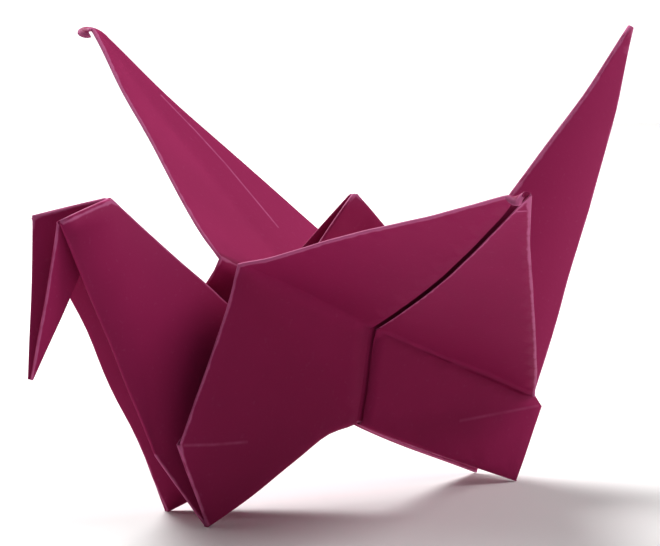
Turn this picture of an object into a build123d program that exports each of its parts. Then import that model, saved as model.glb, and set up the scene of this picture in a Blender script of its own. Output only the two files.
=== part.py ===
from build123d import *
import os
from math import sqrt

os.makedirs("parts", exist_ok=True)

# Origami crane: one uncut square of paper, folded through the bird base, with neck, head and
# tail made by inside reverse folds.  Millimetres.  The head points to -X and the tail to +X, the
# near wing to -Y and the far wing to +Y.  +Z is up, and the origin lies on the ground under the
# hump.  The paper is built as one thin solid: flat panels, a rounded strip along every fold, and a
# small closing patch where folds cross, with each layer of a stack kept clear of the next.

# ---- driving dimensions ------------------------------------------------------------------------
sheet_side = 150.0        # the uncut square
paper_thickness = 0.22
layer_gap = 0.08          # air left between two layers that are folded flat on each other
slit_gap = 1.0            # between the two raw edges that meet down the middle of each wing

neck_crease = 12.3        # from a base corner, down the leg's edge, to the neck's reverse fold
tail_crease = 11.3        # the same for the tail
neck_bend = 11.6          # on up the neck's edge, to where it leaves the body and bends
neck_length = 49.3        # along the spine, from the body to the head's reverse fold
head_edge = 21.5          # along the folded edge, from the head's reverse fold to the beak

near_root_front = 25.6    # wing crease, measured up the near wing's front edge from the body
near_root_back = 1.8      # and up its rear edge
far_root_front = 27.0
far_root_back = 10.0

# how far each corner stands out from the middle plane: the body is slightly opened
base_front_near, base_front_far = 4.2, 9.6
base_back_near, base_back_far = 3.2, 7.2
foot_front_near, foot_front_far = 3.6, 9.2
foot_back_near, foot_back_far = 2.5, 5.9
bend_near, bend_far = -0.6, 8.3      # the neck leans over to the far side here
throat_near, throat_far = 1.4, 5.8
root_front_near, root_front_far = 4.1, 0.8
root_back_near, root_back_far = 2.8, 11.5
root_mid_near, root_mid_far = 4.6, 7.2

near_tip_height = 36.3    # wing tips, above the line of the base corners
far_tip_height = 54.1

ARC = 4                   # facets around one folded edge
FOUR_LAYERS = (1.5, 0.5, -0.5, -1.5)      # a stack of four, from the outside in, in steps
FURTHEST_SHIFT = 1.5      # how far a sharp corner of the skin may stand out, in half thicknesses
SAME_FACE = 0.02          # normals closer than this belong to one flat face
NO_AREA = 1e-9

# ---- the creased square: a quarter of it, with the middle of the base as origin -----------------
step = paper_thickness + layer_gap              # from one layer to the next
spine_clear = 2.5 * step      # front and rear spines stand back to back, either side of the middle
apex_clear = 1.2 * step
half_base = sheet_side * (sqrt(2) - 1) / 2      # centre of the base to a base corner
flap = sheet_side / 2                           # centre of the base to the flap's tip
edge_run = sqrt(half_base**2 + flap**2)         # base corner to the flap's tip
across, along = half_base / edge_run, flap / edge_run


def up_edge(distance, side=-1):
    """A point on a flap's folded edge, at this distance from its base corner."""
    return Vector(side * (half_base - distance * across), distance * along)


def down_edge(distance):
    """A point on a leg's folded edge, at this distance from its base corner."""
    return Vector(-half_base + distance * across, -distance * along)


# ---- placing the corners ------------------------------------------------------------------------
X, Y, Z = Vector(1, 0, 0), Vector(0, 1, 0), Vector(0, 0, 1)


def unit(v):
    return v * (1 / v.length)


def flat_fix(a, b, flat_a, flat_b, flat_p):
    """Carry a point of the flat sheet to the line a-b: its foot on the line, and its height off it."""
    run = unit(flat_b - flat_a)
    reach = (flat_p - flat_a).dot(run)
    height = ((flat_p - flat_a) - run * reach).length
    return a + unit(b - a) * reach, height


def swing(a, b, flats, want, axis, pick):
    """Turn a panel about a-b until its free corner reaches `want` along `axis`.

    Two turns do that; `pick` is the direction in which the right one lies further.
    """
    foot, height = flat_fix(a, b, *flats)
    run = unit(b - a)
    u = unit(axis - run * axis.dot(run))
    v = run.cross(u)
    cosine = max(-1.0, min(1.0, (want - foot.dot(axis)) / (height * u.dot(axis))))
    sine = sqrt(1 - cosine**2)
    both = [foot + (u * cosine + v * s) * height for s in (sine, -sine)]
    return max(both, key=lambda p: p.dot(pick))


def meet(a, ra, b, rb, c, rc, pick):
    """The point at three known distances from three corners, on the side `pick` points to."""
    ex = unit(b - a)
    i = ex.dot(c - a)
    ey = unit(c - a - ex * i)
    d, j = (b - a).length, ey.dot(c - a)
    x = (ra**2 - rb**2 + d**2) / (2 * d)
    y = (ra**2 - rc**2 + i**2 + j**2 - 2 * i * x) / (2 * j)
    z = sqrt(max(0.0, ra**2 - x**2 - y**2))
    ez = ex.cross(ey)
    both = [a + ex * x + ey * y + ez * s for s in (z, -z)]
    return max(both, key=lambda p: p.dot(pick))


middle = Vector(0, 0, 0)
neck_root, tail_root = middle - X * spine_clear, middle + X * spine_clear
apex = Vector(0, 0, half_base)
flat_mid, flat_left, flat_right = Vector(0, 0), Vector(-half_base, 0), Vector(half_base, 0)


def base_corner(out, end, side):
    """A corner of the bird base, at the body's bottom edge: end -1 is front, side -1 is near."""
    return Vector(end * sqrt(half_base**2 - out**2), side * out, 0)


def foot_corner(corner, crease, out, side):
    """Where a reverse fold starts on a leg's folded edge: the crane stands on these."""
    return swing(middle, corner, (flat_mid, flat_left, down_edge(crease)), side * out, Y, -Z)


def wing_roots(front, back, front_run, back_run, out_front, out_back, out_mid, side):
    """The wing's crease: its front end, its rear end and its middle, which lies on the slit."""
    flat_front, flat_back = up_edge(front_run), up_edge(back_run, 1)
    share = flat_front.X / (flat_front.X - flat_back.X)
    flat_cross = flat_front + (flat_back - flat_front) * share
    g_front = swing(middle, front, (flat_mid, flat_left, flat_front), side * out_front, Y, Z)
    g_back = swing(middle, back, (flat_mid, flat_right, flat_back), side * out_back, Y, Z)
    mid = swing(middle, g_front, (flat_mid, flat_front, flat_cross), side * out_mid, Y, X)
    return g_front, g_back, mid, (flat_front, flat_back)


def wing_tip(g_front, g_back, flats, height, side):
    """The wing, turned about its crease until its tip is at this height."""
    return swing(g_front, g_back, (*flats, Vector(0, flap)), height, Z, Y * side)


p1, p2 = base_corner(base_front_near, -1, -1), base_corner(base_back_near, 1, -1)
p4, p3 = base_corner(base_front_far, -1, 1), base_corner(base_back_far, 1, 1)
y1 = foot_corner(p1, neck_crease, foot_front_near, -1)
y4 = foot_corner(p4, neck_crease, foot_front_far, 1)
y2 = foot_corner(p2, tail_crease, foot_back_near, -1)
y3 = foot_corner(p3, tail_crease, foot_back_far, 1)
g1, g2, n1, near_flats = wing_roots(p1, p2, near_root_front, near_root_back,
                                    root_front_near, root_back_near, root_mid_near, -1)
g4, g3, n4, far_flats = wing_roots(p4, p3, far_root_front, far_root_back,
                                   root_front_far, root_back_far, root_mid_far, 1)
near_tip = wing_tip(g1, g2, near_flats, near_tip_height, -1)
far_tip = wing_tip(g4, g3, far_flats, far_tip_height, 1)

# neck and tail: a leg turned inside out about the crease from the body's middle to the foot
flat_foot, flat_bend = down_edge(neck_crease), down_edge(neck_crease + neck_bend)
flat_nape = Vector(0, -neck_length)
flat_throat, flat_beak = down_edge(edge_run - head_edge), Vector(0, -flap)
bend_flats = (flat_mid, flat_foot, flat_bend)
bend1 = swing(neck_root, y1, bend_flats, -bend_near, Y, Z - X)
bend4 = swing(neck_root, y4, bend_flats, bend_far, Y, Z - X)
nape_run = (flat_nape - flat_bend).length
nape = meet(neck_root, neck_length, bend1, nape_run, bend4, nape_run, Z - X)
throat_flats = (flat_bend, flat_nape, flat_throat)
throat1 = swing(bend1, nape, throat_flats, -throat_near, Y, -X)
throat4 = swing(bend4, nape, throat_flats, throat_far, Y, -X)
beak = meet(nape, flap - neck_length, throat1, head_edge, throat4, head_edge, -Z)
tail_run = (flat_beak - down_edge(tail_crease)).length
tail_tip = meet(tail_root, flap, y2, tail_run, y3, tail_run, Z + X)


# ---- the sheet's middle surface -----------------------------------------------------------------
points, triangles, arcs = [], [], {}


def at(place):
    """A new point of the middle surface, by its number."""
    points.append(place)
    return len(points) - 1


def panel(*corners):
    """A flat panel, as a fan from its first corner."""
    for b, c in zip(corners[1:], corners[2:]):
        triangles.append((corners[0], b, c))


def arc(a, b, bulge=None):
    """The rounded end of a fold, from layer a to layer b; asked for again, it is the same one."""
    if (b, a) in arcs:
        return arcs[b, a][::-1]
    if (a, b) not in arcs:
        pa, pb = points[a], points[b]
        half, mid = (pa - pb) * 0.5, (pa + pb) * 0.5
        depth = min(half.length, 2 * step)
        turn = [Vector(1, 0).rotate(Axis.Z, 180 * i / ARC) for i in range(1, ARC)]
        arcs[a, b] = [a, *(at(mid + half * t.X + bulge * (depth * t.Y)) for t in turn), b]
    return arcs[a, b]


def strip(one, two):
    """The rounded edge between two arcs."""
    for a, b, c, d in zip(one, one[1:], two[1:], two):
        triangles.extend([(a, b, c), (a, c, d)])


def away(a, b, inner):
    """Square to the line a-b, and away from a point of the panel."""
    run = unit(b - a)
    return unit((a - inner) - run * (a - inner).dot(run))


def gusset(*layers):
    """Close the sheet where folds cross: three narrow folds, then a wide one around them."""
    chain = [n for a, b in zip(layers, layers[1:]) for n in arc(a, b)[:-1]] + [layers[-1]]
    wide = arc(layers[0], layers[-1])
    per = (len(chain) - 1) // (len(wide) - 1)
    for i, (a, b) in enumerate(zip(wide, wide[1:])):
        run = chain[i * per:(i + 1) * per + 1]
        for c, d in zip(run, run[1:]):
            if a != c:
                panel(a, c, d)
        if b != run[-1]:
            panel(a, run[-1], b)


def stack(place, out, *levels):
    """One point for each layer at a corner: levels are how far out each layer lies, in steps."""
    return [at(place + out * (step * k)) for k in levels]


def bisector(n, m):
    """The way layers step outwards along a crease between faces with these normals."""
    return (n + m) * (1 / (1 + n.dot(m)))


def normal(a, b, c, side):
    """The normal of a panel's face that looks outwards, to the near or the far side."""
    n = unit((b - a).cross(c - a))
    return n * (1 if n.Y * side > 0 else -1)


class End:
    """The sheet's layers at the front end (way -1) or the rear end (way 1) of one side of the body.

    `strip` and `kite` go up into the wing, `hump` and `inner` into the body, and the leg that comes
    down to the foot goes up again as the neck or the tail, with a wall and a lining.
    """

    def __init__(self, way, side, corner, foot, wing_root, leg_root):
        out = Y * side
        self.way, self.corner, self.foot, self.wing_root = way, corner, foot, wing_root
        self.strip, self.kite, self.hump, self.inner = stack(corner, out, *FOUR_LAYERS)
        (self.inner_top,) = stack(apex + X * (way * apex_clear), out, 0.5)
        self.inner_mid, self.leg_mid, self.leg_raw = stack(leg_root, out, 2.5, 1.5, 0.5)
        (self.strip_raw,) = stack(middle + X * (way * slit_gap / 2), out, 6.0)
        self.foot_strip, self.foot_inner, self.foot_wall, self.foot_lining = stack(
            foot, out, *FOUR_LAYERS)


def wing(side, front, back, kite_mid, root_mid, tip):
    """One wing and the kite below it: an inner face in one piece, and an outer face of two strips
    whose raw edges meet in the slit."""
    n_front = normal(middle, front.wing_root, root_mid, side)
    n_back = normal(middle, root_mid, back.wing_root, side)
    n_wing = unit((front.wing_root - tip).cross(back.wing_root - tip))
    n_wing = n_wing * (1 if n_wing.Z < 0 else -1)
    fold_mid = bisector(unit(n_front + n_back), n_wing)
    (kite_root,) = stack(root_mid, fold_mid, 0.5)
    (kite_tip,) = stack(tip, n_wing, -0.5)
    half_slit = unit(unit(tip - root_mid).cross(n_wing))
    half_slit = half_slit * (1 if half_slit.X > 0 else -1) * (slit_gap / 2)
    for end, n_body in ((front, n_front), (back, n_back)):
        end.kite_wing, end.strip_wing = stack(end.wing_root, bisector(n_body, n_wing), 0.5, 1.5)
        (end.strip_slit,) = stack(root_mid + half_slit * end.way, fold_mid, 2.0)
        (end.strip_tip,) = stack(tip + half_slit * end.way, n_wing, 0.5)
        low, high = away(end.corner, end.wing_root, middle), away(end.wing_root, tip, root_mid)
        at_root = arc(end.kite_wing, end.strip_wing, unit(low + high))
        strip(arc(end.kite, end.strip, low), at_root)
        strip(at_root, arc(kite_tip, end.strip_tip, high))
    if side < 0:                                  # pushed out from the hump's middle
        panel(kite_mid, front.kite, front.kite_wing, kite_root)
        panel(front.strip_raw, front.strip, front.strip_wing, front.strip_slit)
    else:                                         # pressed in over the neck
        panel(front.kite, front.kite_wing, kite_root, kite_mid)
        panel(front.strip, front.strip_wing, front.strip_slit, front.strip_raw)
    panel(kite_root, back.kite_wing, back.kite, kite_mid)
    panel(kite_root, front.kite_wing, kite_tip, back.kite_wing)
    panel(front.strip_slit, front.strip_wing, front.strip_tip)
    panel(back.strip_slit, back.strip_wing, back.strip, back.strip_raw)
    panel(back.strip_slit, back.strip_tip, back.strip_wing)


def body(front, back, kite_mid, hump_mid, hump_top):
    """One wall of the hump, the inner panels behind it, and the folds round the bottom edge."""
    panel(hump_mid, front.hump, hump_top, back.hump)
    for end in (front, back):
        rise, fall = away(end.corner, apex, middle), away(end.corner, end.foot, middle)
        under = away(middle, end.foot, apex)
        below = unit(under + away(end.foot, end.corner, middle))
        panel(end.inner_mid, end.inner_top, end.inner, end.foot_inner)
        panel(end.strip_raw, end.strip, end.foot_strip)
        strip(arc(end.hump, end.inner, rise), arc(hump_top, end.inner_top, rise))
        strip(arc(end.kite, end.hump, -Z), arc(kite_mid, hump_mid, -Z))
        strip(arc(end.strip, end.inner, fall), arc(end.foot_strip, end.foot_inner, fall))
        strip(arc(end.foot_inner, end.foot_wall, under), arc(end.inner_mid, end.leg_mid, under))
        strip(arc(end.foot_strip, end.foot_lining, below), arc(end.strip_raw, end.leg_raw, under))


def neck(side, end, bend, throat):
    """The front leg, turned up as the neck, with the head folded down inside its end."""
    out = Y * side
    wall_bend, lining_bend = stack(bend, out, 0.5, -0.5)
    around_throat = stack(throat, normal(throat, bend, nape, side), *FOUR_LAYERS)
    wall_throat, lining_throat, head_lining_throat, head_throat = around_throat
    wall_nape, lining_nape, head_lining_nape, head_nape = stack(nape, out, 3.5, 2.5, 1.5, 0.5)
    head_lining_beak, head_beak = stack(beak, out, 1.5, 0.5)
    panel(wall_bend, wall_throat, wall_nape, end.leg_mid, end.foot_wall)
    panel(lining_bend, lining_throat, lining_nape, end.leg_raw, end.foot_lining)
    panel(head_nape, head_throat, head_beak)
    panel(head_lining_nape, head_lining_throat, head_lining_beak)
    low, fore = away(end.foot, bend, neck_root), away(bend, throat, neck_root)
    crown, chin = away(nape, throat, middle), away(throat, beak, nape)
    at_bend = arc(wall_bend, lining_bend, unit(fore + low))
    strip(arc(end.foot_wall, end.foot_lining, low), at_bend)
    strip(at_bend, arc(wall_throat, lining_throat, fore))
    strip(arc(wall_nape, head_nape, crown), arc(wall_throat, head_throat, crown))
    strip(arc(lining_nape, head_lining_nape, crown), arc(lining_throat, head_lining_throat, crown))
    strip(arc(head_throat, head_lining_throat, chin), arc(head_beak, head_lining_beak, chin))
    gusset(*around_throat)
    return wall_nape, head_nape, head_beak


def tail(side, end):
    """The rear leg, turned up as the tail."""
    wall_tip, lining_tip = stack(tail_tip, Y * side, 1.5, 0.5)
    panel(end.leg_mid, end.foot_wall, wall_tip)
    panel(end.leg_raw, end.foot_lining, lining_tip)
    aft = away(end.foot, tail_tip, middle)
    strip(arc(end.foot_wall, end.foot_lining, aft), arc(wall_tip, lining_tip, aft))
    return wall_tip


def half_body(side, corners, feet, wing_roots, root_mid, tip, bend, throat):
    """Every layer of the near side (side -1) or the far side (side 1)."""
    out = Y * side
    front = End(-1, side, corners[0], feet[0], wing_roots[0], neck_root)
    back = End(1, side, corners[1], feet[1], wing_roots[1], tail_root)
    (hump_top,) = stack(apex, out, 1.5)
    kite_mid, hump_mid = stack(middle, out, 4.5, 3.5)
    wing(side, front, back, kite_mid, root_mid, tip)
    body(front, back, kite_mid, hump_mid, hump_top)
    nape_wall, nape_head, beak_head = neck(side, front, bend, throat)
    tail_end = tail(side, back)
    for end in (front, back):                     # where the folds at a corner cross
        gusset(end.strip, end.kite, end.hump, end.inner)
        gusset(end.foot_strip, end.foot_inner, end.foot_wall, end.foot_lining)
    return {
        "hump top": hump_top, "front top": front.inner_top, "front root": front.inner_mid,
        "neck root": front.leg_mid, "nape": nape_wall, "head nape": nape_head, "beak": beak_head,
        "back top": back.inner_top, "back root": back.inner_mid, "tail root": back.leg_mid,
        "tail tip": tail_end,
    }


near = half_body(-1, (p1, p2), (y1, y2), (g1, g2), n1, near_tip, bend1, throat1)
far = half_body(1, (p4, p3), (y4, y3), (g4, g3), n4, far_tip, bend4, throat4)


def spine(low, high, bulge, high_bulge=None):
    """The folded edge that joins the near side to the far side between two of its corners."""
    strip(arc(near[low], far[low], bulge), arc(near[high], far[high], high_bulge or bulge))


def crossing(low, high):
    """Closes the sheet where one spine turns into the next."""
    gusset(near[low], near[high], far[high], far[low])


spine("front top", "front root", X, unit(X - Z * 0.5))
spine("back top", "back root", -X, unit(-X - Z * 0.5))
spine("neck root", "nape", away(middle, nape, (y1 + y4) * 0.5))
spine("tail root", "tail tip", away(middle, tail_tip, (y2 + y3) * 0.5))
spine("head nape", "beak", away(nape, beak, (throat1 + throat4) * 0.5))
crossing("front root", "neck root")
crossing("back root", "tail root")
crossing("nape", "head nape")

# the six folds at the top of the hump close over one low point
rim = [near["hump top"], near["front top"], far["front top"],
       far["hump top"], far["back top"], near["back top"]]
loop = [n for a, b in zip(rim, rim[1:] + rim[:1]) for n in arc(a, b)[:-1]]
peak = at(apex + Z * (step / 2))
for a, b in zip(loop, loop[1:] + loop[:1]):
    panel(peak, a, b)


# ---- one thin solid around the middle surface ---------------------------------------------------
def face_the_same_way():
    """Turn the triangles so that they all show one side of the paper."""
    by_edge = {}
    for n, (a, b, c) in enumerate(triangles):
        for e in ((a, b), (b, c), (c, a)):
            by_edge.setdefault(frozenset(e), []).append(n)
    todo, seen = [0], {0}
    while todo:
        n = todo.pop()
        a, b, c = triangles[n]
        for e in ((a, b), (b, c), (c, a)):
            for m in by_edge[frozenset(e)]:
                if m in seen:
                    continue
                q = triangles[m]
                if e in ((q[0], q[1]), (q[1], q[2]), (q[2], q[0])):
                    triangles[m] = (q[0], q[2], q[1])
                seen.add(m)
                todo.append(m)
    return by_edge


def solve(rows):
    """The shift that moves every face around a point outwards by one, as nearly as it can."""
    m = [[sum(r[i] * r[j] for r in rows) + (1e-3 if i == j else 0) for j in range(3)] for i in range(3)]
    v = [sum(r[i] for r in rows) for i in range(3)]

    def det(k):
        return (k[0][0] * (k[1][1] * k[2][2] - k[1][2] * k[2][1])
                - k[0][1] * (k[1][0] * k[2][2] - k[1][2] * k[2][0])
                + k[0][2] * (k[1][0] * k[2][1] - k[1][1] * k[2][0]))
    d = det(m)
    return Vector(*(det([[v[i] if j == c else m[i][j] for j in range(3)] for i in range(3)]) / d
                    for c in range(3)))


def offsets():
    """How far each point of the middle surface moves out to reach the paper's upper face."""
    around = [[] for _ in points]
    for a, b, c in triangles:
        n = (points[b] - points[a]).cross(points[c] - points[a])
        if n.length < NO_AREA:
            continue
        n = unit(n)
        for v in (a, b, c):
            if all((n - other).length > SAME_FACE for other in around[v]):
                around[v].append(n)
    shifts = []
    for faces in around:
        shift = solve([(n.X, n.Y, n.Z) for n in faces])
        shifts.append(shift * min(1.0, FURTHEST_SHIFT / shift.length) * (paper_thickness / 2))
    return shifts


by_edge = face_the_same_way()
shifts = offsets()
top = [p + s for p, s in zip(points, shifts)]
low = [p - s for p, s in zip(points, shifts)]

# stand it level on its four feet, with the origin under the middle of its outline
upright = unit((y2 + y3 - y1 - y4).cross(y4 + y3 - y1 - y2))
ahead = unit(X - upright * upright.dot(X))
leftward = upright.cross(ahead)
level = [Vector(p.dot(ahead), p.dot(leftward), p.dot(upright)) for p in top + low]
spans = [[(p.X, p.Y, p.Z)[i] for p in level] for i in range(3)]
origin = Vector((min(spans[0]) + max(spans[0])) / 2, (min(spans[1]) + max(spans[1])) / 2, min(spans[2]))
level = [p - origin for p in level]
top, low = level[:len(points)], level[len(points):]

skin = []
for a, b, c in triangles:
    skin += [(top[a], top[b], top[c]), (low[a], low[c], low[b])]
    for p, q in ((a, b), (b, c), (c, a)):
        if len(by_edge[frozenset((p, q))]) == 1:      # a raw edge of the sheet
            skin += [(top[p], low[p], low[q]), (top[p], low[q], top[q])]
crane = Solid(Shell([Face(Wire.make_polygon(corners, close=True)) for corners in skin]))
export_step(crane, "parts/crane.step")
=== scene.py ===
import math

import bmesh
import bpy
import numpy as np
from mathutils import Matrix, Vector


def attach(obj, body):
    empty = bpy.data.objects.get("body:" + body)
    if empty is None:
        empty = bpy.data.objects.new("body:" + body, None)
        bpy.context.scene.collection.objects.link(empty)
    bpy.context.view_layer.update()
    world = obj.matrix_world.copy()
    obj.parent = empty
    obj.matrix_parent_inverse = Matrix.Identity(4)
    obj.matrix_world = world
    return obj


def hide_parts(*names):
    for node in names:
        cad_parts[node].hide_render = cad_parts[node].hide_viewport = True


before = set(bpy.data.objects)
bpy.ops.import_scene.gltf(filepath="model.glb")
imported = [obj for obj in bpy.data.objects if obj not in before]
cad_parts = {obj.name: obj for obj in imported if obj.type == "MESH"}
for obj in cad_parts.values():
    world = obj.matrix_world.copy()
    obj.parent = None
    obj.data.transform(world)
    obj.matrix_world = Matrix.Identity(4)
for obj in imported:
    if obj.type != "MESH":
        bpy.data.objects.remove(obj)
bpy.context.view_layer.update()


# ---- the camera
# It looks slightly down on the bird's near side, from towards the head's end, with a long
# lens, as a small object on a table is looked at.
MM = 0.001
LOOK_AT = Vector((-9.64, 0.0, 33.31)) * MM
DISTANCE = 421.8 * MM
TURN, DROP, TILT = (math.radians(angle) for angle in (33.907, 6.795, -0.709))
LENS = 168.39
SENSOR_WIDTH = 36.0

scene = bpy.context.scene

ahead = Vector((math.sin(TURN) * math.cos(DROP), math.cos(TURN) * math.cos(DROP), -math.sin(DROP)))
level = Vector((math.cos(TURN), -math.sin(TURN), 0.0))
rise = level.cross(ahead)
right = level * math.cos(TILT) + rise * math.sin(TILT)
up = rise * math.cos(TILT) - level * math.sin(TILT)

camera = bpy.data.objects.new("camera", bpy.data.cameras.new("camera"))
camera.data.lens = LENS
camera.data.sensor_width = SENSOR_WIDTH
camera.data.clip_start = 0.01
facing = Matrix((right, up, -ahead)).transposed().to_4x4()
camera.matrix_world = Matrix.Translation(LOOK_AT - ahead * DISTANCE) @ facing
scene.collection.objects.link(camera)
scene.camera = camera


# ---- the folded sheet
# One square of thin dyed paper, folded into the crane and never cut; its folds alone hold it.
# Its form is the CAD sheet's, divided finely enough to let the paper bow, curl at the wing
# tips and show wear with a painted highlight at its folds.
SHARP_FOLD = math.radians(38)
CUT_EDGE = math.radians(75)
LONGEST_EDGE = 3.0 * MM

# each wing by its tip and its crease's front end, rear end and middle, where the slit between
# the two strips under the wing starts, in millimetres
near_wing = ((-16.2, -51.9, 48.1), (-22.7, 1.9, 35.4), (28.1, 3.1, 12.5), (-1.9, 1.4, 25.3))
far_wing = ((-17.9, 51.8, 65.7), (-23.3, 6.8, 36.0), (23.2, 17.4, 18.5), (-4.1, 13.2, 28.0))
near_tip, far_tip = np.array(near_wing[0]) * MM, np.array(far_wing[0]) * MM

# the bird base's two rear corners, which the rear halves of the wing creases run down to
near_corner, far_corner = (28.7, 2.7, 10.9), (28.0, 13.1, 10.9)
VALLEY_WIDTH = 1.6 * MM


MOST_ROUNDS = 12


def divided(bm, longest, within=None):
    """Halves the edges that are too long, round after round, or only those within a place."""
    for _ in range(MOST_ROUNDS):
        long = [e for e in bm.edges if e.calc_length() > longest]
        if within and long:
            middles = np.array([e.verts[0].co + e.verts[1].co for e in long]) / 2
            long = [e for e, inside in zip(long, within(middles)) if inside]
        if not long:
            break
        bmesh.ops.subdivide_edges(bm, edges=long, cuts=1)
        bmesh.ops.triangulate(bm, faces=[f for f in bm.faces if len(f.verts) > 3])


def distance_to(segments, points):
    """How far each point lies from the nearest of the segments."""
    best = np.full(len(points), 1.0)
    for start, end in segments:
        run = end - start
        along = np.clip((points - start) @ run / max(run @ run, 1e-18), 0, 1)
        best = np.minimum(best, np.linalg.norm(points - start - along[:, None] * run, axis=1))
    return best


def in_a_valley(ends):
    """True along the rear half of a wing's crease, which folds inwards and gets no pale band of wear and
    painted highlight.
    """
    for wing, corner in ((near_wing, near_corner), (far_wing, far_corner)):
        valley = (np.array(wing[3]) * MM, np.array(corner) * MM)
        if (distance_to([valley], np.array(ends)) < VALLEY_WIDTH).all():
            return True
    return False


def panel_rims(bm):
    """Numbers the panels: faces that no tight fold or raw edge parts. Gives the folded rims
    that stand out on each, where the dye wears off and a highlight is painted on."""
    number = bm.faces.layers.int.new("panel")
    tight = {e for e in bm.edges if e.calc_face_angle(math.pi) > SHARP_FOLD}
    rims = []
    for f in bm.faces:
        f[number] = -1
    for first in bm.faces:
        if first[number] >= 0:
            continue
        first[number] = len(rims)
        rims.append([])
        waiting = [first]
        while waiting:
            for e in waiting.pop().edges:
                if e in tight:
                    ends = tuple(np.array(v.co) for v in e.verts)
                    if 0 < e.calc_face_angle_signed(0.0) < CUT_EDGE and not in_a_valley(ends):
                        rims[-1].append(ends)
                    continue
                for g in e.link_faces:
                    if g[number] < 0:
                        g[number] = first[number]
                        waiting.append(g)
    return rims


TIP_LENGTH = 5.0 * MM
TIP_EDGE = 0.35 * MM


def at_a_tip(places):
    """True near either wing tip, where the paper curls tightly."""
    gaps = [np.linalg.norm(places - tip, axis=1) for tip in (near_tip, far_tip)]
    return np.min(gaps, axis=0) < TIP_LENGTH


SAME_PLACE = 0.001 * MM

paper_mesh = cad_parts["crane"].data.copy()
bm = bmesh.new()
bm.from_mesh(paper_mesh)
bmesh.ops.remove_doubles(bm, verts=bm.verts, dist=SAME_PLACE)
rims = panel_rims(bm)
divided(bm, LONGEST_EDGE)
divided(bm, TIP_EDGE, at_a_tip)
bmesh.ops.dissolve_degenerate(bm, dist=SAME_PLACE, edges=bm.edges)
bmesh.ops.triangulate(bm, faces=[f for f in bm.faces if len(f.verts) > 3])
bm.to_mesh(paper_mesh)
bm.free()
paper_mesh.validate()

flat = np.empty(len(paper_mesh.vertices) * 3)
paper_mesh.vertices.foreach_get("co", flat)
points = flat.reshape(-1, 3)
corner_vertex = np.empty(len(paper_mesh.loops), np.int64)
paper_mesh.loops.foreach_get("vertex_index", corner_vertex)
faces = corner_vertex.reshape(-1, 3)
face_panel = np.empty(len(paper_mesh.polygons), np.int32)
paper_mesh.attributes["panel"].data.foreach_get("value", face_panel)

# each corner of each face is told how far it lies from its own panel's rims, in millimetres
from_fold = np.zeros(len(corner_vertex))
corner_panel = np.repeat(face_panel, 3)
for panel, segments in enumerate(rims):
    own = np.flatnonzero(corner_panel == panel)
    from_fold[own] = distance_to(segments, points[corner_vertex[own]]) / MM

# the wing tips and the near wing's upper edge are handled most, and their pale band of worn dye
# and painted highlight reaches furthest from the fold: from where to where, how much further and within
# what, in mm
worn_and_lit_spread = (
    (near_wing[0], near_wing[0], 0.25, 5.0),
    (far_wing[0], far_wing[0], 0.4, 12.0),
    (near_wing[0], near_wing[1], 0.2, 1.5),
)
for start, end, further, within in worn_and_lit_spread:
    gap = distance_to([(np.array(start) * MM, np.array(end) * MM)], points) / MM
    from_fold -= (further * np.exp(-((gap / within) ** 2)))[corner_vertex]
layer = paper_mesh.attributes.new("from_fold", "FLOAT", "CORNER")
layer.data.foreach_set("value", from_fold)


def wing_axes(wing):
    """A wing's tip, the way from it to the middle of its crease, how far that is, the way
    across the wing to its rear, and the way out of its underside."""
    tip, front, back, middle = (np.array(place) * MM for place in wing)
    out = np.cross(front - tip, back - tip)
    out *= -np.sign(out[2]) / np.linalg.norm(out)
    reach = np.linalg.norm(middle - tip)
    run = (middle - tip) / reach
    rearward = np.cross(run, out)
    rearward *= np.sign(rearward[0])
    return tip, run, reach, rearward, out


SLIT_HALF_WIDTH = 0.3 * MM
STRIP_STAND = 0.26 * MM
WING_DEPTH = 2.5 * MM
INNER_PART = 0.4
BESIDE_SLIT = 15 * MM


def strip_vertices(share, side, height):
    """Which vertices belong to the two strips under a wing: those of the panels that stand
    off the wing's inner face and keep to one side of the slit."""
    along, across, off = (values[faces].mean(axis=1) for values in (share, side, height))
    # a panel is judged by its faces beside the slit, away from the wing's tip
    beside = (along > INNER_PART) & (along < 1) & (abs(across) < BESIDE_SLIT)
    seen = np.flatnonzero(beside & (abs(off) < WING_DEPTH))
    count, stand = np.zeros((2, len(rims)))
    least, most = np.full(len(rims), 1.0), np.full(len(rims), -1.0)
    np.add.at(count, face_panel[seen], 1)
    np.add.at(stand, face_panel[seen], off[seen])
    np.minimum.at(least, face_panel[seen], across[seen])
    np.maximum.at(most, face_panel[seen], across[seen])
    one_side = (least > SLIT_HALF_WIDTH) | (most < -SLIT_HALF_WIDTH)
    strips = (stand > STRIP_STAND * count) & one_side & (count > 0)
    is_strip = np.zeros(len(share), bool)
    is_strip[faces[strips[face_panel]]] = True
    return is_strip


# how far into each strip the lift reaches at the crease, how far the strips stand off, how far
# the slit bows to the rear, and how far it closes towards the tip
FRONT_STRIP, REAR_STRIP = 22.0 * MM, 30.0 * MM
STRIP_LIFT = 0.7 * MM
REAR_BOW = 0.95 * MM
TIP_CLOSING = 0.4 * MM


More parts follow.
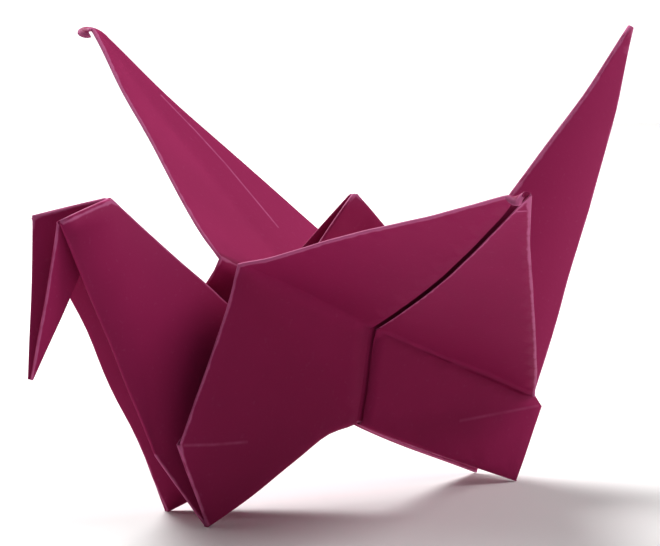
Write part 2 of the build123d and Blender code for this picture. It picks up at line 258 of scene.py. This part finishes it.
def opened_slit(points, wing, sunk):
    """The two strips under a wing stand off its inner face along the slit between them, and
    the slit bows to the rear and narrows to the tip. The inner face bows away by up to sunk."""
    tip, run, reach, rearward, out = wing_axes(wing)
    rest = points - tip
    share, side, height = rest @ run / reach, rest @ rearward, rest @ out
    is_strip = strip_vertices(share, side, height)
    on_wing = (share > 0) & (share < 1) & (abs(height) < WING_DEPTH)
    share = np.clip(share, 0, 1)
    bulge = np.where(on_wing, np.sin(math.pi * share) ** 0.7, 0.0)
    width = np.where(side > 0, REAR_STRIP, FRONT_STRIP) * np.maximum(share, 0.05)
    inside = np.clip(1 - abs(side) / width, 0, 1)
    lift = np.where(is_strip, STRIP_LIFT, -sunk) * bulge * inside**3
    closing = np.where(side < 0, TIP_CLOSING * (1 - share) * np.minimum(8 * share, 1), 0.0)
    shift = np.where(is_strip, REAR_BOW * bulge + closing, 0.0) * inside**1.5
    return points + lift[:, None] * out + shift[:, None] * rearward


def leaned(points, place, reach, push):
    """Eases the paper over by push around a place. Layers that lie together move together."""
    gap = np.linalg.norm(points - np.array(place) * MM, axis=1) / (reach * MM)
    return points + np.exp(-(gap**2))[:, None] * np.array(push) * MM


def wave(points, length, seed):
    """A slow, uneven, repeatable push in all three directions, of about one unit."""
    draw = np.random.default_rng(seed)
    push = np.zeros_like(points)
    for _ in range(7):
        turn = draw.normal(size=3)
        turn *= 2 * math.pi / length * draw.uniform(0.5, 1.2) / np.linalg.norm(turn)
        swing = 0.5 * draw.normal(size=3)
        push += swing * np.sin(points @ turn + draw.uniform(0, 2 * math.pi))[:, None]
    return push


# how much of a wing's front edge rolls over at the tip, the part of that over which it fades
# out, and how near the tip the paper that rolls lies
ROLL_LENGTH, ROLL_FADE = 2.8 * MM, 1.5 * MM
ROLL_REACH = 6 * MM


def rolled_edge(points, wing, end, radius):
    """Rolls a wing's front edge over towards its underside, along the last of the tip."""
    _, run, _, rearward, out = wing_axes(wing)
    forward = -rearward
    rest = points - end
    along, side, height = rest @ run, rest @ forward, rest @ out
    fade = np.clip((ROLL_LENGTH - along) / ROLL_FADE, 0, 1)
    bend = fade * fade * (3 - 2 * fade) / radius
    rolled = (side > 0) & (np.linalg.norm(rest, axis=1) < ROLL_REACH) & (bend > 1)
    bend = np.maximum(bend, 1)
    spoke = 1 / bend - height
    moved = points + (spoke * np.sin(side * bend) - side)[:, None] * forward
    moved += (1 / bend - spoke * np.cos(side * bend) - height)[:, None] * out
    return np.where(rolled[:, None], moved, points)


def rolled_tip(points, end, reach, under, length, radius):
    """Rolls the last of a wing tip over towards under."""
    reach, under = np.array(reach), np.array(under)
    under = under - reach * (under @ reach)
    under /= np.linalg.norm(under)
    rest = points - (end - reach * length)
    along, out = rest @ reach, rest @ under
    rolled = (along > 0) & (np.linalg.norm(points - end, axis=1) < 2.5 * length)
    angle = along / radius
    spoke = radius - out
    moved = points - reach * along[:, None] - under * out[:, None]
    moved += reach * (spoke * np.sin(angle))[:, None]
    moved += under * (radius - spoke * np.cos(angle))[:, None]
    return np.where(rolled[:, None], moved, points)


near_tip_push, far_tip_push = (0.1, -0.9, 0.2), (0.9, 0.0, 0.7)

# where this folder's hands left the paper off its straight lines: place, reach and push, in mm
eased = (
    ((-51.2, 8.7, 21.4), 9.0, (-0.6, 0.0, 0.2)),
    ((-33.0, 14.2, 10.6), 6.5, (0.9, 0.0, 0.2)),
    ((-41.0, 13.0, 26.0), 6.5, (0.6, 0.0, 0.0)),
    ((-8.0, 4.5, 8.8), 4.6, (0.0, 0.0, 1.3)),
    ((-15.0, 4.0, 6.5), 5.0, (0.0, 0.0, 0.5)),
    ((28.7, 2.7, 11.5), 6.0, (-0.6, 0.0, 0.0)),
    ((45.5, 7.5, 52.0), 9.0, (0.75, 0.0, 0.0)),
    ((40.5, 6.5, 40.0), 8.0, (0.45, 0.0, 0.0)),
    ((-19.0, 42.8, 59.8), 9.0, (0.65, 0.0, 0.0)),
    ((-20.5, 29.8, 51.2), 9.0, (0.65, 0.0, 0.0)),
    ((-23.6, 7.2, 34.5), 3.6, (0.75, 0.0, -0.2)),
    ((-22.7, 1.9, 35.4), 3.6, (-0.7, 0.0, 0.2)),
    ((-1.7, 6.0, 42.5), 8.0, (0.1, 0.0, 0.4)),
    ((-19.5, -25.0, 41.7), 14.0, (0.0, 0.0, 0.25)),
    (near_wing[0], 12.0, near_tip_push),
    (far_wing[0], 12.0, far_tip_push),
)

# creases that were folded once and opened again: the two where the legs were first folded up,
# front and rear, and one down the far wing's upper face, each with how pale its line of broken fibres and
# painted highlight shows
old_creases = (
    (0.55, ((-32.6, 1.3, 11.8), (-27.5, 1.7, 11.3), (-22.1, 2.2, 10.9))),
    (0.4, ((28.3, 2.3, 10.9), (21.0, 2.7, 10.3), (14.8, 3.1, 10.0))),
    (1.0, ((-10.2, 43.5, 55.6), (-7.1, 39.4, 50.8), (-4.6, 34.8, 45.8), (-1.3, 25.7, 36.9))),
)

points = opened_slit(points, near_wing, sunk=1.5 * MM)
points = opened_slit(points, far_wing, sunk=0.0)
# the old creases move with the paper they are in
paper_end = len(points)
points = np.vstack([points] + [np.array(crease) * MM for _, crease in old_creases])
for place, reach, push in eased:
    points = leaned(points, place, reach, push)
# paper never lies quite flat: it bows by some 0.12 mm over 30 mm and 0.02 mm over 8 mm, and one
# push for all the layers keeps them in order
points += 0.12 * MM * wave(points, 30 * MM, seed=4) + 0.02 * MM * wave(points, 8 * MM, seed=9)
crease_starts = np.cumsum([len(crease) for _, crease in old_creases])[:-1]
crease_lines = np.split(points[paper_end:], crease_starts)
points = points[:paper_end]

near_end = near_tip + np.array(near_tip_push) * MM
far_end = far_tip + np.array(far_tip_push) * MM
points = rolled_edge(points, near_wing, near_end, radius=0.6 * MM)
far_reach, far_under = (0.10, 0.84, 0.54), (-0.62, -0.39, -0.3)
points = rolled_tip(points, far_end, far_reach, far_under, length=2.0 * MM, radius=0.55 * MM)

SHARP_SHADING = math.radians(50)

paper_mesh.vertices.foreach_set("co", points.ravel())
paper_mesh.materials.clear()
paper_mesh.shade_smooth()
paper_mesh.set_sharp_from_angle(angle=SHARP_SHADING)

# the least area of a broad face, how far from the bird's middle the neck and the tail begin,
# and how near a fold the softening fades out, in millimetres
BROAD = 60 * MM**2
BODY_END = 27 * MM
RIM_WIDTH = 0.4
SMOOTHINGS = 70


def soften_neck_and_tail(mesh):
    """The neck and the tail bow without a crease: their broad faces shade as one curve."""
    corners = np.empty(len(corner_vertex) * 3)
    mesh.corner_normals.foreach_get("vector", corners)
    corners = corners.reshape(-1, 3)
    a, b, c = (points[faces[:, k]] for k in range(3))
    square = np.cross(b - a, c - a)
    middle_x = points[faces].mean(axis=1)[:, 0]
    for panel in np.unique(face_panel):
        own = np.flatnonzero(face_panel == panel)
        area = np.linalg.norm(square[own], axis=1).sum() / 2
        if area < BROAD or abs(middle_x[own].mean()) < BODY_END:
            continue
        verts, local = np.unique(faces[own], return_inverse=True)
        local = local.reshape(-1, 3)
        normal = np.zeros((len(verts), 3))
        for k in range(3):
            np.add.at(normal, local[:, k], square[own])
        normal /= np.linalg.norm(normal, axis=1)[:, None] + 1e-30
        pairs = np.concatenate([local[:, [0, 1]], local[:, [1, 2]], local[:, [2, 0]]])
        for _ in range(SMOOTHINGS):
            total = normal.copy()
            np.add.at(total, pairs[:, 0], normal[pairs[:, 1]])
            np.add.at(total, pairs[:, 1], normal[pairs[:, 0]])
            normal = total / (np.linalg.norm(total, axis=1)[:, None] + 1e-30)
        at = (own[:, None] * 3 + np.arange(3)).ravel()
        mix = np.clip(from_fold[at] / RIM_WIDTH, 0, 1)[:, None]
        corners[at] = corners[at] * (1 - mix) + normal[local.ravel()] * mix
    corners /= np.maximum(np.linalg.norm(corners, axis=1), 1e-6)[:, None]
    mesh.normals_split_custom_set(corners)


soften_neck_and_tail(paper_mesh)
crane = bpy.data.objects.new("folded_crane", paper_mesh)
scene.collection.objects.link(crane)


def srgb(code):
    """An sRGB hex colour as linear RGBA."""
    parts = [int(code[i : i + 2], 16) / 255 for i in (1, 3, 5)]
    linear = [c / 12.92 if c <= 0.04045 else ((c + 0.055) / 1.055) ** 2.4 for c in parts]
    return (*linear, 1.0)


def add(tree, kind, inputs=None, **settings):
    """Adds a node, makes its settings, and links or fills its inputs."""
    node = tree.nodes.new(kind)
    for name, value in settings.items():
        setattr(node, name, value)
    for socket, source in (inputs or {}).items():
        if isinstance(source, bpy.types.NodeSocket):
            tree.links.new(source, node.inputs[socket])
        else:
            node.inputs[socket].default_value = source
    return node


def gap_to(tree, place, start, end):
    """The distance from a place to the straight line between two points, in metres."""
    length = float(np.linalg.norm(end - start))
    run = tuple((end - start) / length)
    rest = add(tree, "ShaderNodeVectorMath", {0: place, 1: tuple(start)}, operation="SUBTRACT").outputs[0]
    along = add(tree, "ShaderNodeVectorMath", {0: rest, 1: run}, operation="DOT_PRODUCT").outputs["Value"]
    held = add(tree, "ShaderNodeClamp", {"Value": along, "Min": 0.0, "Max": length}).outputs[0]
    foot = add(tree, "ShaderNodeVectorMath", {0: run, "Scale": held}, operation="SCALE").outputs[0]
    return add(tree, "ShaderNodeVectorMath", {0: rest, 1: foot}, operation="DISTANCE").outputs["Value"]


# the size of a clump of fibres, of a patch of uneven dye and of a rubbed patch along a fold
FIBRE_CLUMP = 0.625 * MM
DYE_PATCH = 12.5 * MM
RUBBED_PATCH = 2.0 * MM
FIBRE_HEIGHT = 0.03 * MM
CREASE_CORE, CREASE_EDGE = 0.06 * MM, 0.3 * MM


def dyed_paper():
    """Thin folding paper, dyed magenta: matte, faintly fibrous, and paler where a fold or
    handling has broken the dyed surface, with a painted highlight along folds and old creases."""
    material = bpy.data.materials.new("dyed_paper")
    material.use_nodes = True
    tree = material.node_tree
    tree.nodes.clear()
    place = add(tree, "ShaderNodeTexCoord").outputs["Object"]
    worn_and_lit_gap = add(tree, "ShaderNodeAttribute", attribute_name="from_fold").outputs["Fac"]

    clumps = {"Vector": place, "Scale": 1 / FIBRE_CLUMP, "Detail": 3.0}
    fibre = add(tree, "ShaderNodeTexNoise", clumps).outputs["Fac"]
    patches = {"Vector": place, "Scale": 1 / DYE_PATCH, "Detail": 2.0}
    dye = add(tree, "ShaderNodeTexNoise", patches).outputs["Fac"]
    rubbing = {"Vector": place, "Scale": 1 / RUBBED_PATCH, "Detail": 2.0}
    rub = add(tree, "ShaderNodeTexNoise", rubbing).outputs["Fac"]

    # the dye is a little uneven, and the tops of the fibre clumps are paler
    ends = {"Factor": dye, 6: srgb("#98295b"), 7: srgb("#a12d61")}
    body = add(tree, "ShaderNodeMix", ends, data_type="RGBA").outputs[2]
    speck_range = {"Value": fibre, "From Min": 0.62, "From Max": 0.80, "To Max": 0.22}
    speck = add(tree, "ShaderNodeMapRange", speck_range).outputs[0]
    ends = {"Factor": speck, 6: body, 7: srgb("#b05a84")}
    mottled = add(tree, "ShaderNodeMix", ends, data_type="RGBA").outputs[2]

    # the paper is palest at a fold, from worn dye and a painted highlight, and shows its full colour some
    # 0.3 mm from it, by uneven patches
    uneven = add(tree, "ShaderNodeMath", {0: rub, 1: 0.5}, operation="MULTIPLY").outputs[0]
    reach = add(tree, "ShaderNodeMath", {0: uneven, 1: worn_and_lit_gap}, operation="SUBTRACT").outputs[0]
    fold_range = {"Value": reach, "From Min": -0.08, "From Max": 0.22, "To Max": 0.72}
    shown = add(tree, "ShaderNodeMapRange", fold_range, interpolation_type="SMOOTHSTEP").outputs[0]

    # an old crease is a pale line of broken fibres with a painted highlight, that fades out
    # 0.3 mm to each side, broken where the fibres still lie flat
    for (paleness, _), line in zip(old_creases, crease_lines):
        broken = add(tree, "ShaderNodeMath", {0: rub, 1: paleness}, operation="MULTIPLY").outputs[0]
        for start, end in zip(line[:-1], line[1:]):
            gap = gap_to(tree, place, start, end)
            line_range = {"Value": gap, "From Min": CREASE_CORE, "From Max": CREASE_EDGE}
            pale = add(tree, "ShaderNodeMapRange", {**line_range, "To Min": broken, "To Max": 0.0})
            both = {0: shown, 1: pale.outputs[0]}
            shown = add(tree, "ShaderNodeMath", both, operation="MAXIMUM").outputs[0]

    # pale worn dye with a painted highlight, along the folds and old creases
    ends = {"Factor": shown, 6: mottled, 7: srgb("#cc74a0")}
    coloured = add(tree, "ShaderNodeMix", ends, data_type="RGBA").outputs[2]
    relief = {"Height": fibre, "Distance": FIBRE_HEIGHT, "Strength": 0.5}
    bump = add(tree, "ShaderNodeBump", relief).outputs[0]
    # a matte face: rough, with next to no gloss
    finish = {"Base Color": coloured, "Normal": bump, "Roughness": 0.6, "Specular IOR Level": 0.1}
    surface = add(tree, "ShaderNodeBsdfPrincipled", finish).outputs[0]
    add(tree, "ShaderNodeOutputMaterial", {"Surface": surface})
    return material


paper_mesh.materials.append(dyed_paper())
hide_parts("crane")
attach(crane, "root")


# ---- the table and the light
# A plain white table in a bright room. A little light comes from all round and most from four
# broad soft lights, the strongest high behind the bird, and the table throws it back up.
TABLE_RADIUS = 0.75
WINDOW_WIDTH = 0.45
ROOM_LIGHT, ROOM_SEEN = 0.08, 1.05

table = bpy.data.meshes.new("table")
turns = np.linspace(0, 2 * math.pi, 96, endpoint=False)
rim = [(TABLE_RADIUS * math.cos(a), TABLE_RADIUS * math.sin(a), 0.0) for a in turns]
table.from_pydata(rim, [], [tuple(range(len(rim)))])
floor = bpy.data.objects.new("table", table)
scene.collection.objects.link(floor)

# white laminate: smooth and nearly white, with a dull sheen
laminate = bpy.data.materials.new("white_laminate")
laminate.use_nodes = True
surface = laminate.node_tree.nodes["Principled BSDF"]
surface.inputs["Base Color"].default_value = srgb("#f4f3f2")
surface.inputs["Roughness"].default_value = 0.7
table.materials.append(laminate)

# the room lights the crane weakly and is white where it is seen
world = bpy.data.worlds.new("room")
world.use_nodes = True
room = world.node_tree
seen = add(room, "ShaderNodeLightPath").outputs["Is Camera Ray"]
room_range = {"Value": seen, "To Min": ROOM_LIGHT, "To Max": ROOM_SEEN}
strength = add(room, "ShaderNodeMapRange", room_range).outputs[0]
room.nodes["Background"].inputs["Color"].default_value = (1.0, 1.0, 1.0, 1.0)
room.links.new(strength, room.nodes["Background"].inputs["Strength"])
scene.world = world
scene.view_settings.view_transform = "Standard"
scene.view_settings.look = "Medium High Contrast"


def window(name, at, power):
    """A broad soft light at a place in metres, facing the crane."""
    lamp = bpy.data.lights.new(name, "AREA")
    lamp.size = WINDOW_WIDTH
    lamp.energy = power
    thing = bpy.data.objects.new(name, lamp)
    thing.location = at
    thing.rotation_euler = (Vector(at) - LOOK_AT).to_track_quat("Z", "Y").to_euler()
    scene.collection.objects.link(thing)


window("window_behind", (0.04, 0.64, 0.70), 8.5)
window("window_right", (0.87, -0.06, 0.22), 3.4)
window("lamp_front_right", (0.45, -0.44, 0.70), 3.0)
window("lamp_left", (-0.42, 0.48, 0.70), 1.4)
